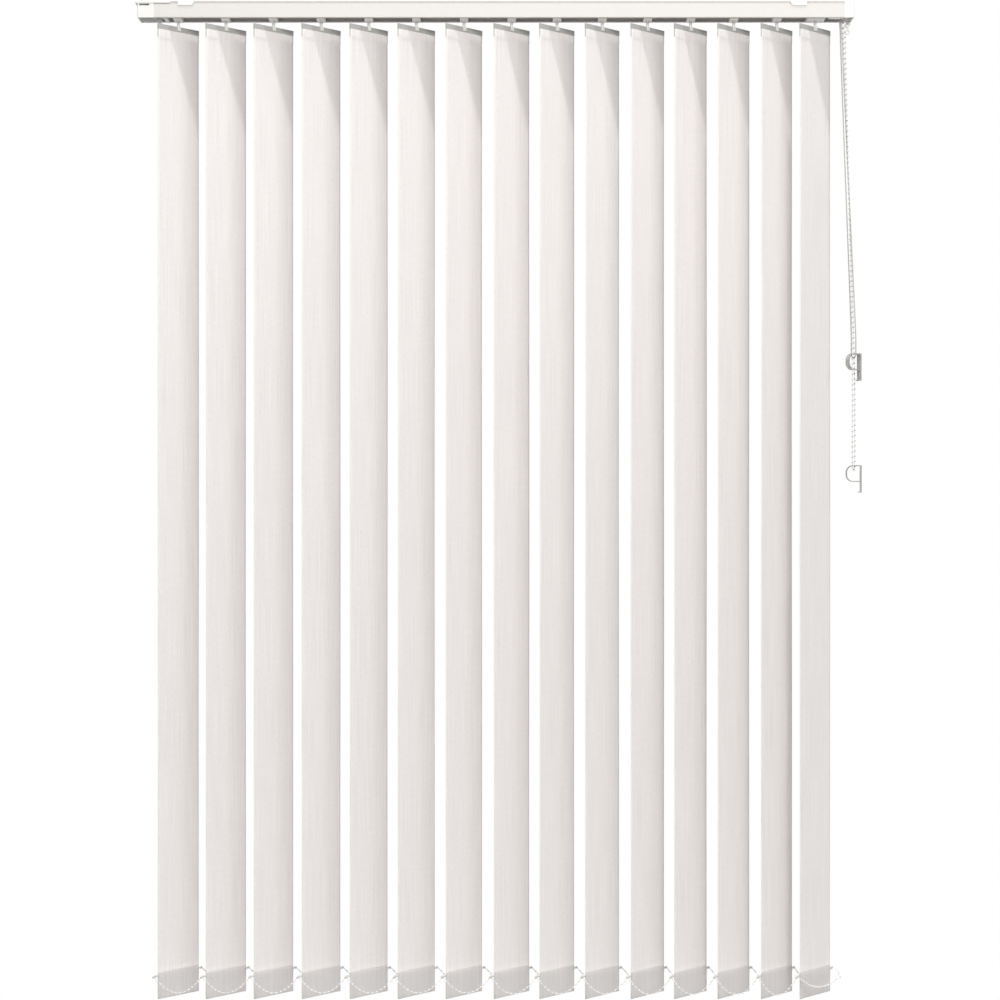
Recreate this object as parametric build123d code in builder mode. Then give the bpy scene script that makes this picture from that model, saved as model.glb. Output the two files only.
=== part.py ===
"""A vertical blind: fabric vanes on carriers that travel and turn in an aluminium headrail.

The frame is the blind's own. +X runs along the rail to the control end, -Y faces the room and +Z is
up, with the origin on the ceiling plane at the middle of the rail. Sizes are in millimetres.
"""

import os
from math import cos, hypot, pi, radians, sin, tan

from build123d import *

os.makedirs("parts", exist_ok=True)

# Headrail: a channel that is open below, with a bracket groove along both top edges
BLIND_WIDTH = 1200.0
RAIL_DEPTH = 45.0
RAIL_HEIGHT = 27.5
RAIL_WALL = 1.4
RAIL_LIP = 5.4
RAIL_EDGE = 1.2
GROOVE_HEIGHT = 3.8
GROOVE_DEPTH = 1.5
RAIL_CORNER = 1.0

# Ceiling brackets
BRACKET_SHEET = 2.0
BRACKET_LEG = 1.4
BRACKET_WIDTH = 27.0
RETURN_BRACKET_INSET = 81.5
CONTROL_BRACKET_INSET = 93.0
BRACKET_DROP = 7.2
BRACKET_TOE = 1.2
BRACKET_CHAMFER = 4.0
BRACKET_HOLE_RADIUS = 2.3

# Vanes, with the pitch of each group from the return end to the control end
VANE_WIDTH = 89.0
VANE_ANGLE = 48.0
FIRST_PIVOT_INSET = 66.0
LEAD_PIVOT_INSET = 62.9
WIDE_PITCH = 80.1
WIDE_COUNT = 7
MIDDLE_PITCH = 76.2
MIDDLE_COUNT = 3
NARROW_PITCH = 72.4
NARROW_COUNT = 3
LEAD_PITCH = 64.6
FABRIC_TOP = -50.0
FABRIC_BOTTOM = -1670.0
FABRIC_THICKNESS = 0.6
TOP_POCKET_THICKNESS = 2.2
TOP_POCKET_HEIGHT = 15.0
HEM_HEIGHT = 44.2
HEM_THICKNESS = 2.8
HEM_TAPER = 2.5

# Chain clips at both ends of the weight in each hem
CLIP_REACH = 8.0
CLIP_THICKNESS = 2.0
CLIP_BAR = 3.0
CLIP_HOOK = 4.0
CLIP_DROP = 5.0

# Hangers: a hook stem and the plate that the fabric's top pocket is slid onto
HANGER_TOP = -41.5
HANGER_THICKNESS = 2.2
TONGUE_THICKNESS = 1.0
TONGUE_HEIGHT = 13.5
STEM_RADIUS = 2.5
STEM_SIDES = 12
STEM_LENGTH_IN_CARRIER = 8.7
HOOK_WIDTH = 6.6
HOOK_HEIGHT = 7.2
HOOK_DEPTH = 5.4
HOOK_RISE = 1.0

# Carriers, which slide on the rail's lips
CARRIER_LENGTH = 14.0
LEAD_LENGTH = 29.5
CARRIER_FOOT = 1.7
CARRIER_CHAMFER = 1.0
CARRIER_SIDE_GAP = 0.6
CARRIER_HEADROOM = 2.0
SHOE_HEIGHT = 3.6
SHOE_END_GAP = 0.5

# Spacer strips that set the carriers' pitch and nest when the carriers are stacked
STRIP_LANES = 6
STRIP_THICKNESS = 0.4
LANE_PITCH = 0.85
STRIP_WIDTH = 6.0
STRIP_TAIL = 2.0
STRIP_TAB = 6.0

# Tilt rod and its chain wheel
ROD_RADIUS = 3.3
ROD_FLUTES = 3
ROD_DROP = 15.0
FLUTE_RADIUS = 1.2
ROD_END_INSET = 3.0
CHAIN_PITCH = 8.7
WHEEL_POCKETS = 8
WHEEL_CENTRE_INSET = 14.5
WHEEL_WIDTH = 8.0
WHEEL_FLANGE = 0.8
WHEEL_TRACK_GAP = 0.2
WHEEL_GROOVE = 4.0
WHEEL_SIDES = 32
POCKET_DEPTH = 1.4

# Cord and chain
CORD_RADIUS = 1.0
CHAIN_RADIUS = 1.5
CORD_SIDES = 6
CHAIN_JOIN = 0.02
CORD_SPREAD = 7.5
CORD_END_GAP = 1.0
CORD_DROP = 11.0
CORD_EXIT_INSET = 20.0
CORD_PULLEY_TRACK = 5.5
PULLEY_WIDTH = 4.0
PULLEY_GROOVE = 2.4
PULLEY_RIM = 1.2
ROUND_SIDES = 16
PULLEY_PIN_RADIUS = 1.5
RETURN_PULLEY_INSET = 16.0
RETURN_POST_RADIUS = 2.0

# End housings
HOUSING_WALL = 1.6
RETURN_CAP = 28.0
CONTROL_CAP = 16.0
CAP_CORNER = 2.0
PLUG_REACH = 24.0
PLUG_HEIGHT = 3.5
RETURN_PLUG_REACH = 12.0
WEB_THICKNESS = 10.4
WEB_BOTTOM = 2.5
CONTROL_WEB_REACH = 20.5
STOP_LENGTH = 6.4
STOP_REACH = 22.4
BOSS_RADIUS = 5.0
BOSS_INSET = 34.0
FLANGE_LENGTH = 59.0
FLANGE_OVERHANG = 3.7
FLANGE_HEIGHT = 3.3
FLANGE_PROUD = 0.9
SLOT_LENGTH = 16.7
SLOT_HEIGHT = 3.3
SLOT_INSET = 3.3
SLOT_DROP = 4.2
BEARING_WALL = 2.2
GUIDE_CENTRE_INSET = 8.0
GUIDE_RADIUS = 4.4
GUIDE_DROP = 8.5
EYE_DROP = 20.5
EYE_RADIUS = 4.2
EYE_HOLE_RADIUS = 2.2
GUIDE_THICKNESS = 4.0

# Tensioners: a band loop on a screw plate, one for the cord and one for the chain
TENSIONER_X = 602.0
CORD_TENSIONER_TOP = -590.3
CHAIN_TENSIONER_TOP = -778.6
CORD_TENSIONER_TURN = 28.0
CHAIN_TENSIONER_TURN = -15.0
LOOP_WIDTH = 26.0
LOOP_HEIGHT = 28.0
LOOP_CORNER = 12.0
BAND_THICKNESS = 1.6
BAND_WIDTH = 10.0
PLATE_HEIGHT = 46.0
PLATE_THICKNESS = 2.4
PLATE_FOOT = 5.6
PLATE_HOLE_RADIUS = 2.1
PLATE_HOLE_DROP = 37.0

# Bottom chains
BAY_LENGTH = 98.0
LAST_BAY_LENGTH = 114.0
BAY_END_GAP = 3.8
BAY_STEPS = 6
BOTTOM_CHAIN = 2.4

# Clearances
RUN_CLEARANCE = 0.1
SEAT_CLEARANCE = 0.1
ROD_CLEARANCE = 0.45
SHOE_CLEARANCE = 0.15
SLIDE_CLEARANCE = 0.2
BAND_CLEARANCE = 0.25
CORD_CLEARANCE = 0.5
CHAIN_CLEARANCE = 0.8

# Heights and half widths that follow
rail_top = -BRACKET_SHEET
rail_bottom = rail_top - RAIL_HEIGHT
rail_half = RAIL_DEPTH / 2
groove_bottom = rail_top - RAIL_EDGE - GROOVE_HEIGHT
inner_half_top = rail_half - GROOVE_DEPTH - RAIL_WALL
inner_half = rail_half - RAIL_WALL
slot_half = rail_half - RAIL_LIP
lip_top = rail_bottom + RAIL_WALL
inner_top = rail_top - RAIL_WALL
rail_start = -BLIND_WIDTH / 2 + RETURN_CAP
rail_end = BLIND_WIDTH / 2 - CONTROL_CAP
rod_z = rail_top - ROD_DROP
cord_z = rail_top - CORD_DROP
carrier_bottom = rail_bottom - CARRIER_FOOT
carrier_top = inner_top - CARRIER_HEADROOM
carrier_half = slot_half - CARRIER_SIDE_GAP
slot_width_half = max(STRIP_WIDTH / 2, ROD_RADIUS) + ROD_CLEARANCE
lanes_bottom = carrier_top - STRIP_LANES * LANE_PITCH - SLIDE_CLEARANCE
stem_top = carrier_bottom + STEM_LENGTH_IN_CARRIER
hem_top = FABRIC_BOTTOM + HEM_HEIGHT
clip_z = hem_top - CLIP_DROP
clip_x = VANE_WIDTH / 2 + CLIP_REACH - CLIP_THICKNESS / 2
track_radius = CHAIN_PITCH * WHEEL_POCKETS / (2 * pi)
wheel_x = BLIND_WIDTH / 2 - WHEEL_CENTRE_INSET
cord_exit_x = BLIND_WIDTH / 2 - CORD_EXIT_INSET
cord_pulley_x = cord_exit_x - CORD_PULLEY_TRACK
cord_pulley_z = cord_z - CORD_PULLEY_TRACK
return_pulley_x = -BLIND_WIDTH / 2 + RETURN_PULLEY_INSET
web_half = WEB_THICKNESS / 2
web_end = rail_bottom + WEB_BOTTOM
plug_top = inner_top - SEAT_CLEARANCE
plug_half = inner_half_top - SEAT_CLEARANCE
plug_bottom = plug_top - PLUG_HEIGHT

# Pivots: the pitches spread over what the rail's width leaves between the first and the lead one
shown = [WIDE_PITCH] * WIDE_COUNT + [MIDDLE_PITCH] * MIDDLE_COUNT + [NARROW_PITCH] * NARROW_COUNT
shown.append(LEAD_PITCH)
pivot_run = BLIND_WIDTH - FIRST_PIVOT_INSET - LEAD_PIVOT_INSET
pitches = [pitch * pivot_run / sum(shown) for pitch in shown]
first_pivot = -BLIND_WIDTH / 2 + FIRST_PIVOT_INSET
pivots = [first_pivot + sum(pitches[:i]) for i in range(len(pitches) + 1)]
lengths = [CARRIER_LENGTH] * len(pitches) + [LEAD_LENGTH]

turn = radians(VANE_ANGLE)
ALONG = Vector(cos(turn), sin(turn), 0)
ACROSS = Vector(-sin(turn), cos(turn), 0)


def save(piece, name):
    """Labels a finished piece and writes its file."""
    piece.part.label = name
    export_step(piece.part, f"parts/{name}.step")


def section_plane(pivot, start):
    """The plane square to a vane's width, start millimetres from its pivot, with the thickness as x."""
    return Plane(origin=Vector(pivot, 0, 0) + ALONG * start, x_dir=ACROSS, z_dir=ALONG)


def face_plane(pivot):
    """The vane's own middle plane, with its width as x and the height as y."""
    return Plane(origin=(pivot, 0, 0), x_dir=ALONG, z_dir=-ACROSS)


def mirrored(half_outline):
    """A closed outline from its right half, which starts and ends near the middle line."""
    return half_outline + [(-x, y) for x, y in reversed(half_outline)]


# Headrail
with BuildPart() as headrail:
    with BuildSketch(Plane.YZ.offset(rail_start)):
        with BuildLine():
            Polyline(
                *mirrored(
                    [
                        (rail_half, rail_top),
                        (rail_half, rail_top - RAIL_EDGE),
                        (rail_half - GROOVE_DEPTH, rail_top - RAIL_EDGE),
                        (rail_half - GROOVE_DEPTH, groove_bottom),
                        (rail_half, groove_bottom),
                        (rail_half, rail_bottom),
                        (slot_half, rail_bottom),
                        (slot_half, lip_top),
                        (inner_half, lip_top),
                        (inner_half, groove_bottom - RAIL_WALL),
                        (inner_half_top, groove_bottom - RAIL_WALL),
                        (inner_half_top, inner_top),
                    ]
                ),
                close=True,
            )
        make_face()
    extrude(amount=rail_end - rail_start)
    bottom_edges = headrail.edges().filter_by(Axis.X).group_by(Axis.Z)[0]
    fillet(bottom_edges.sort_by(lambda edge: abs(edge.center().Y))[-2:], RAIL_CORNER)
save(headrail, "headrail")


def bracket_outline():
    """The bracket's section: a top plate with a leg and an inward toe on each side."""
    leg_in = rail_half + SEAT_CLEARANCE
    leg_out = leg_in + BRACKET_LEG
    toe_top = rail_top - RAIL_EDGE - SEAT_CLEARANCE
    leg_end = rail_top - BRACKET_DROP
    toe_end = toe_top - BRACKET_LEG
    return mirrored(
        [
            (leg_out, 0),
            (leg_out, leg_end),
            (leg_in, leg_end),
            (leg_in, toe_end),
            (leg_in - BRACKET_TOE, toe_end),
            (leg_in - BRACKET_TOE, toe_top),
            (leg_in, toe_top),
            (leg_in, rail_top),
        ]
    )


# Ceiling brackets, one solid at each end of the rail, with the corner that faces the middle cut off
with BuildPart() as ceiling_brackets:
    for centre in (RETURN_BRACKET_INSET - BLIND_WIDTH / 2, BLIND_WIDTH / 2 - CONTROL_BRACKET_INSET):
        inward = 1 if centre < 0 else -1
        with BuildSketch(Plane.YZ.offset(centre - BRACKET_WIDTH / 2)):
            with BuildLine():
                Polyline(*bracket_outline(), close=True)
            make_face()
        extrude(amount=BRACKET_WIDTH)
        corner_x = centre + inward * BRACKET_WIDTH / 2
        corner_z = rail_top - BRACKET_DROP
        with BuildSketch(Plane.XZ):
            with BuildLine():
                Polyline(
                    (corner_x, corner_z),
                    (corner_x, corner_z + BRACKET_CHAMFER),
                    (corner_x - inward * BRACKET_CHAMFER, corner_z),
                    close=True,
                )
            make_face()
        extrude(amount=RAIL_DEPTH, both=True, mode=Mode.SUBTRACT)
        with BuildSketch(Plane.XY):
            with Locations((centre, 0)):
                Circle(BRACKET_HOLE_RADIUS)
        extrude(amount=-BRACKET_SHEET, mode=Mode.SUBTRACT)
save(ceiling_brackets, "ceiling_brackets")


def carrier_outline():
    """The carrier's section: an open slot for rod and strips, cord notches, and shoes on the lips."""
    slot_floor = rod_z - ROD_RADIUS - ROD_CLEARANCE
    notch_in = CORD_SPREAD - CORD_RADIUS - CORD_CLEARANCE
    notch_out = CORD_SPREAD + CORD_RADIUS + CORD_CLEARANCE
    notch_floor = cord_z - CORD_RADIUS - CORD_CLEARANCE
    shoe_bottom = lip_top + SHOE_CLEARANCE
    shoe_out = inner_half - SHOE_END_GAP
    return mirrored(
        [
            (slot_width_half, slot_floor),
            (slot_width_half, carrier_top),
            (notch_in, carrier_top),
            (notch_in, notch_floor),
            (notch_out, notch_floor),
            (notch_out, carrier_top),
            (carrier_half, carrier_top),
            (carrier_half, shoe_bottom + SHOE_HEIGHT),
            (shoe_out, shoe_bottom + SHOE_HEIGHT),
            (shoe_out, shoe_bottom),
            (carrier_half, shoe_bottom),
            (carrier_half, carrier_bottom + CARRIER_CHAMFER),
            (carrier_half - CARRIER_CHAMFER, carrier_bottom),
        ]
    )


def lane_height(index):
    """The height of the middle of a carrier's strip: neighbours lie in different lanes."""
    lane = index % STRIP_LANES
    return lanes_bottom + (lane + 0.5) * LANE_PITCH


# Carriers, each with the strip that is fixed in its slot and reaches through the next one
socket = 2 * (STEM_RADIUS + RUN_CLEARANCE)
for index, (pivot, length) in enumerate(zip(pivots, lengths)):
    with BuildPart() as carrier:
        with BuildSketch(Plane.YZ.offset(pivot - length / 2)):
            with BuildLine():
                Polyline(*carrier_outline(), close=True)
            make_face()
        extrude(amount=length)
        with BuildSketch(Plane.XY.offset(carrier_bottom)):
            with Locations((pivot, 0)):
                Rectangle(socket, socket)
        extrude(amount=STEM_LENGTH_IN_CARRIER + RUN_CLEARANCE, mode=Mode.SUBTRACT)
        if index < len(pitches):
            reach = pitches[index] + lengths[index + 1] / 2 + STRIP_TAIL
            with BuildSketch(Plane.XY.offset(lane_height(index) - STRIP_THICKNESS / 2)):
                with Locations((pivot + (reach - STRIP_TAB / 2) / 2, 0)):
                    Rectangle(reach + STRIP_TAB / 2, STRIP_WIDTH)
                with Locations((pivot, 0)):
                    Rectangle(STRIP_TAB, 2 * slot_width_half)
            extrude(amount=STRIP_THICKNESS)
    save(carrier, f"carrier_{index + 1:02d}")


# Hangers: the stem turns in the carrier, and the hook holds the plate
for index, pivot in enumerate(pivots):
    plate = HANGER_THICKNESS / 2
    tongue = TONGUE_THICKNESS / 2
    with BuildPart() as hanger:
        with BuildSketch(Plane.XY.offset(HANGER_TOP)):
            with Locations((pivot, 0)):
                RegularPolygon(STEM_RADIUS, STEM_SIDES)
        extrude(amount=stem_top - HANGER_TOP)
        with BuildSketch(face_plane(pivot)):
            with Locations((0, HANGER_TOP - HOOK_HEIGHT / 2 + HOOK_RISE)):
                Rectangle(HOOK_WIDTH, HOOK_HEIGHT)
        extrude(amount=HOOK_DEPTH / 2, both=True)
        with BuildSketch(section_plane(pivot, -VANE_WIDTH / 2)):
            with BuildLine():
                Polyline(
                    *mirrored(
                        [
                            (plate, HANGER_TOP),
                            (plate, FABRIC_TOP),
                            (tongue, FABRIC_TOP),
                            (tongue, FABRIC_TOP - TONGUE_HEIGHT),
                        ]
                    ),
                    close=True,
                )
            make_face()
        extrude(amount=VANE_WIDTH)
    save(hanger, f"hanger_{index + 1:02d}")


def vane_outline():
    """The vane's section: a top pocket round the hanger's tongue, one layer, and the weight's hem."""
    cloth = FABRIC_THICKNESS / 2
    pocket = TOP_POCKET_THICKNESS / 2
    tongue = TONGUE_THICKNESS / 2 + SEAT_CLEARANCE
    slot_floor = FABRIC_TOP - TONGUE_HEIGHT - SEAT_CLEARANCE
    pocket_end = FABRIC_TOP - TOP_POCKET_HEIGHT
    hem = HEM_THICKNESS / 2
    fold = HEM_THICKNESS / 4
    return mirrored(
        [
            (tongue, slot_floor),
            (tongue, FABRIC_TOP),
            (pocket, FABRIC_TOP),
            (pocket, pocket_end),
            (cloth, pocket_end - HEM_TAPER),
            (cloth, hem_top + HEM_TAPER),
            (hem, hem_top),
            (hem, FABRIC_BOTTOM + fold),
            (fold, FABRIC_BOTTOM),
        ]
    )


def clip_outline(side):
    """The hook at one end of the hem's weight: a bar with an upturned end."""
    root = side * (VANE_WIDTH / 2 - CLIP_REACH)
    tip = side * (VANE_WIDTH / 2 + CLIP_REACH)
    inner = tip - side * CLIP_THICKNESS
    low = clip_z - CLIP_BAR / 2
    high = clip_z + CLIP_BAR / 2
    return [
        (root, low),
        (tip, low),
        (tip, high + CLIP_HOOK),
        (inner, high + CLIP_HOOK),
        (inner, high),
        (root, high),
    ]


# Vanes: the fabric with its two pockets, and the clips of the weight that is sewn into the hem
for index, pivot in enumerate(pivots):
    with BuildPart() as vane:
        with BuildSketch(section_plane(pivot, -VANE_WIDTH / 2)):
            with BuildLine():
                Polyline(*vane_outline(), close=True)
            make_face()
        extrude(amount=VANE_WIDTH)
        with BuildSketch(face_plane(pivot)):
            for side in (-1, 1):
                with BuildLine():
                    Polyline(*clip_outline(side), close=True)
                make_face()
        extrude(amount=CLIP_THICKNESS / 2, both=True)
    save(vane, f"vane_{index + 1:02d}")


# Tilt rod, with its flutes
rod_start = rail_start + RETURN_PLUG_REACH - RETURN_PLUG_REACH / 2
rod_end = BLIND_WIDTH / 2 - ROD_END_INSET
with BuildPart() as tilt_rod:
    with BuildSketch(Plane.YZ.offset(rod_start)):
        with Locations((0, rod_z)):
            Circle(ROD_RADIUS)
            with PolarLocations(ROD_RADIUS, ROD_FLUTES):
                Circle(FLUTE_RADIUS, mode=Mode.SUBTRACT)
    extrude(amount=rod_end - rod_start)
save(tilt_rod, "tilt_rod")

# Chain wheel: two flanges and a core with a valley for every link
core_radius = track_radius - CHAIN_RADIUS - WHEEL_TRACK_GAP
flange_radius = track_radius + WHEEL_FLANGE
flange_width = (WHEEL_WIDTH - WHEEL_GROOVE) / 2
valleys = [pi * i / WHEEL_POCKETS for i in range(2 * WHEEL_POCKETS)]
with BuildPart() as chain_wheel:
    for start in (wheel_x - WHEEL_WIDTH / 2, wheel_x + WHEEL_GROOVE / 2):
        with BuildSketch(Plane.YZ.offset(start)):
            with Locations((0, rod_z)):
                RegularPolygon(flange_radius, WHEEL_SIDES)
        extrude(amount=flange_width)
    with BuildSketch(Plane.YZ.offset(wheel_x - WHEEL_GROOVE / 2)):
        with BuildLine():
            Polyline(
                *[
                    (
                        (core_radius - POCKET_DEPTH * (i % 2)) * sin(angle),
                        rod_z + (core_radius - POCKET_DEPTH * (i % 2)) * cos(angle),
                    )
                    for i, angle in enumerate(valleys)
                ],
                close=True,
            )
        make_face()
    extrude(amount=WHEEL_GROOVE)
    with BuildSketch(Plane.YZ.offset(wheel_x - WHEEL_WIDTH / 2)):
        with Locations((0, rod_z)):
            RegularPolygon(ROD_RADIUS + RUN_CLEARANCE, ROUND_SIDES, major_radius=False)
    extrude(amount=WHEEL_WIDTH, mode=Mode.SUBTRACT)
save(chain_wheel, "chain_wheel")


def pulley(plane, track, bore):
    """A pulley on the plane's normal: a core that the cord lies on, between two flanges."""
    with BuildPart() as wheel:
        with BuildSketch(plane):
            RegularPolygon(track + PULLEY_RIM, ROUND_SIDES)
        extrude(amount=PULLEY_WIDTH / 2, both=True)
        with BuildSketch(plane):
            RegularPolygon(track + 2 * PULLEY_RIM, ROUND_SIDES)
            RegularPolygon(track - CORD_RADIUS - RUN_CLEARANCE, ROUND_SIDES, mode=Mode.SUBTRACT)
        extrude(amount=PULLEY_GROOVE / 2, both=True, mode=Mode.SUBTRACT)
        with BuildSketch(plane):
            Circle(bore)
        extrude(amount=PULLEY_WIDTH, both=True, mode=Mode.SUBTRACT)
    return wheel


# Pulleys: one upright axle at the return end, two level ones over the cord's exit
return_plane = Plane(origin=(return_pulley_x, 0, cord_z))
return_pulley = pulley(return_plane, CORD_SPREAD, RETURN_POST_RADIUS + RUN_CLEARANCE)
save(return_pulley, "return_pulley")
for name, side in (("front", -1), ("back", 1)):
    centre = (cord_pulley_x, side * CORD_SPREAD, cord_pulley_z)
    level_plane = Plane(origin=centre, z_dir=(0, 1, 0))
    cord_pulley = pulley(level_plane, CORD_PULLEY_TRACK, PULLEY_PIN_RADIUS + RUN_CLEARANCE)
    save(cord_pulley, f"cord_pulley_{name}")


def plan_box(low, high, half_depth, bottom, top, mode=Mode.ADD):
    """A block between two x values, as deep on both sides of the middle, from bottom to top."""
    with Locations(((low + high) / 2, 0, (bottom + top) / 2)):
        Box(high - low, 2 * half_depth, top - bottom, mode=mode)


# Return housing: the cap, its top flange, the pulley's post and the plug with the first stop
roof = rail_top - HOUSING_WALL
mid_roof = rail_top - HOUSING_WALL / 2
cap_start = -BLIND_WIDTH / 2
stop_end = rail_start + STOP_REACH
with BuildPart() as return_housing:
    plan_box(cap_start, rail_start, rail_half, rail_bottom, rail_top)
    outer_edges = return_housing.edges().filter_by(Axis.Z).group_by(Axis.X)[0]
    fillet(outer_edges, CAP_CORNER)
    flange_start = cap_start - FLANGE_OVERHANG
    flange_end = flange_start + FLANGE_LENGTH
    flange_bottom = rail_top - FLANGE_HEIGHT
    plan_box(flange_start, flange_end, rail_half + FLANGE_PROUD, flange_bottom, rail_top)
    seat_half = rail_half + SEAT_CLEARANCE
    plan_box(rail_start, flange_end, seat_half, rail_bottom, rail_top, Mode.SUBTRACT)
    inner_start = cap_start + HOUSING_WALL
    plan_box(inner_start, rail_start, rail_half - HOUSING_WALL, rail_bottom, roof, Mode.SUBTRACT)
    with BuildSketch(Plane.XZ):
        slot_centre = cap_start + SLOT_INSET + SLOT_LENGTH / 2
        with Locations((slot_centre, rail_top - SLOT_DROP - SLOT_HEIGHT / 2)):
            Rectangle(SLOT_LENGTH, SLOT_HEIGHT)
    extrude(amount=RAIL_DEPTH, both=True, mode=Mode.SUBTRACT)
    plug_start = rail_start - HOUSING_WALL
    plan_box(plug_start, rail_start, plug_half, plug_bottom, mid_roof)
    plan_box(rail_start, rail_start + RETURN_PLUG_REACH, plug_half, plug_bottom, plug_top)
    plan_box(plug_start, stop_end, web_half, web_end, plug_bottom)
    plan_box(stop_end - STOP_LENGTH, stop_end, carrier_half, carrier_bottom, web_end)
    with BuildSketch(Plane.XZ):
        with Locations((cap_start + BOSS_INSET, web_end - BOSS_RADIUS + HOUSING_WALL)):
            RegularPolygon(BOSS_RADIUS, ROUND_SIDES)
    extrude(amount=web_half, both=True)
    with BuildSketch(Plane.XY.offset(roof)):
        with Locations((return_pulley_x, 0)):
            RegularPolygon(RETURN_POST_RADIUS, ROUND_SIDES)
    extrude(amount=-(roof - cord_z) - PULLEY_WIDTH)
    with BuildSketch(Plane.YZ.offset(rod_start - RUN_CLEARANCE)):
        with Locations((0, rod_z)):
            RegularPolygon(ROD_RADIUS + RUN_CLEARANCE, ROUND_SIDES, major_radius=False)
    extrude(amount=stop_end - rod_start + RUN_CLEARANCE, mode=Mode.SUBTRACT)
save(return_housing, "return_housing")

# Control housing: the cap, the rod's bearing, the pulleys' pins and the chain guide below
cap_end = BLIND_WIDTH / 2
web_start = rail_end - PLUG_REACH
web_stop = web_start + CONTROL_WEB_REACH
with BuildPart() as control_housing:
    plan_box(rail_end, cap_end, rail_half, rail_bottom, rail_top)
    outer_edges = control_housing.edges().filter_by(Axis.Z).group_by(Axis.X)[-1]
    fillet(outer_edges, CAP_CORNER)
    inner_end = cap_end - HOUSING_WALL
    plan_box(rail_end, inner_end, rail_half - HOUSING_WALL, rail_bottom, roof, Mode.SUBTRACT)
    plan_box(web_start, web_stop, plug_half, plug_bottom, plug_top)
    rib_middle = (flange_radius + CORD_CLEARANCE + plug_half) / 2
    rib_width = plug_half - flange_radius - CORD_CLEARANCE
    for low, high, top in ((web_stop, rail_end, plug_top), (rail_end, inner_end, mid_roof)):
        with Locations(((low + high) / 2, 0, (plug_bottom + top) / 2)):
            with GridLocations(0, 2 * rib_middle, 1, 2):
                Box(high - low, rib_width, top - plug_bottom)
    plan_box(web_start, web_stop, web_half, web_end, plug_bottom)
    for side in (-1, 1):
        with BuildSketch(Plane.XZ.offset(-side * web_half)):
            with Locations((cord_pulley_x, cord_pulley_z)):
                RegularPolygon(PULLEY_PIN_RADIUS, ROUND_SIDES)
        pin_reach = CORD_SPREAD + PULLEY_WIDTH / 2 + PULLEY_PIN_RADIUS / 2 - web_half
        extrude(amount=-side * pin_reach)
    bearing_start = wheel_x + WHEEL_WIDTH / 2 + SLIDE_CLEARANCE
    bearing_half = ROD_RADIUS + RUN_CLEARANCE + BEARING_WALL
    plan_box(bearing_start, inner_end, bearing_half, rod_z - bearing_half, rod_z + bearing_half)
    with BuildSketch(Plane.YZ.offset(web_start)):
        with Locations((0, rod_z)):
            RegularPolygon(ROD_RADIUS + RUN_CLEARANCE, ROUND_SIDES, major_radius=False)
    extrude(amount=rod_end + RUN_CLEARANCE - web_start, mode=Mode.SUBTRACT)
    guide_x = cap_end - GUIDE_CENTRE_INSET
    with BuildSketch(Plane.XZ):
        with Locations((guide_x, (rod_z - ROD_RADIUS + rail_bottom - GUIDE_DROP) / 2)):
            Rectangle(GUIDE_RADIUS, rod_z - ROD_RADIUS - rail_bottom + GUIDE_DROP)
        with Locations((guide_x, rail_bottom - GUIDE_DROP)):
            RegularPolygon(GUIDE_RADIUS, ROUND_SIDES)
        with Locations((guide_x, rail_bottom - EYE_DROP)):
            RegularPolygon(EYE_RADIUS, ROUND_SIDES)
        with Locations((guide_x, (2 * rail_bottom - GUIDE_DROP - EYE_DROP) / 2)):
            Rectangle(EYE_HOLE_RADIUS, EYE_DROP - GUIDE_DROP)
        with Locations((guide_x, rail_bottom - EYE_DROP)):
            RegularPolygon(EYE_HOLE_RADIUS, ROUND_SIDES, mode=Mode.SUBTRACT)
    extrude(amount=GUIDE_THICKNESS / 2, both=True)
    with BuildSketch(Plane.YZ.offset(bearing_start)):
        with Locations((0, rod_z)):
            RegularPolygon(ROD_RADIUS + RUN_CLEARANCE, ROUND_SIDES, major_radius=False)
    extrude(amount=rod_end + RUN_CLEARANCE - bearing_start, mode=Mode.SUBTRACT)
save(control_housing, "control_housing")


def tensioner_plane(top, angle):
    """The plane of a tensioner's band, with its origin at the middle of the band's top."""
    facing = radians(angle)
    return Plane(
        origin=(TENSIONER_X, 0, top),
        x_dir=(cos(facing), sin(facing), 0),
        z_dir=(sin(facing), -cos(facing), 0),
    )


def tensioner(plane):
    """A band loop that the cord or chain pulls on, with a plate that is screwed to the wall."""
    plate_x = LOOP_WIDTH / 2 - PLATE_THICKNESS / 2
    foot_x = LOOP_WIDTH / 2 - PLATE_FOOT / 2
    with BuildPart() as clip:
        with BuildSketch(plane) as band:
            with Locations((0, -LOOP_HEIGHT / 2)):
                Rectangle(LOOP_WIDTH, LOOP_HEIGHT)
            fillet(band.vertices().group_by(Axis.X)[0], LOOP_CORNER)
            with Locations((plate_x, -PLATE_HEIGHT / 2)):
                Rectangle(PLATE_THICKNESS, PLATE_HEIGHT)
            with Locations((foot_x, BAND_THICKNESS / 2 - PLATE_HEIGHT)):
                Rectangle(PLATE_FOOT, BAND_THICKNESS)
        extrude(amount=BAND_WIDTH / 2, both=True)
        with BuildSketch(plane) as opening:
            with Locations(((BAND_THICKNESS - PLATE_THICKNESS) / 2, -LOOP_HEIGHT / 2)):
                Rectangle(
                    LOOP_WIDTH - BAND_THICKNESS - PLATE_THICKNESS,
                    LOOP_HEIGHT - 2 * BAND_THICKNESS,
                )
            fillet(opening.vertices().group_by(Axis.X)[0], LOOP_CORNER - BAND_THICKNESS)
        extrude(amount=BAND_WIDTH, both=True, mode=Mode.SUBTRACT)
        hole_centre = plane.origin - plane.y_dir * PLATE_HOLE_DROP
        with BuildSketch(Plane(origin=hole_centre, x_dir=plane.z_dir, z_dir=plane.x_dir)):
            Circle(PLATE_HOLE_RADIUS)
        extrude(amount=LOOP_WIDTH, mode=Mode.SUBTRACT)
    return clip


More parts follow.
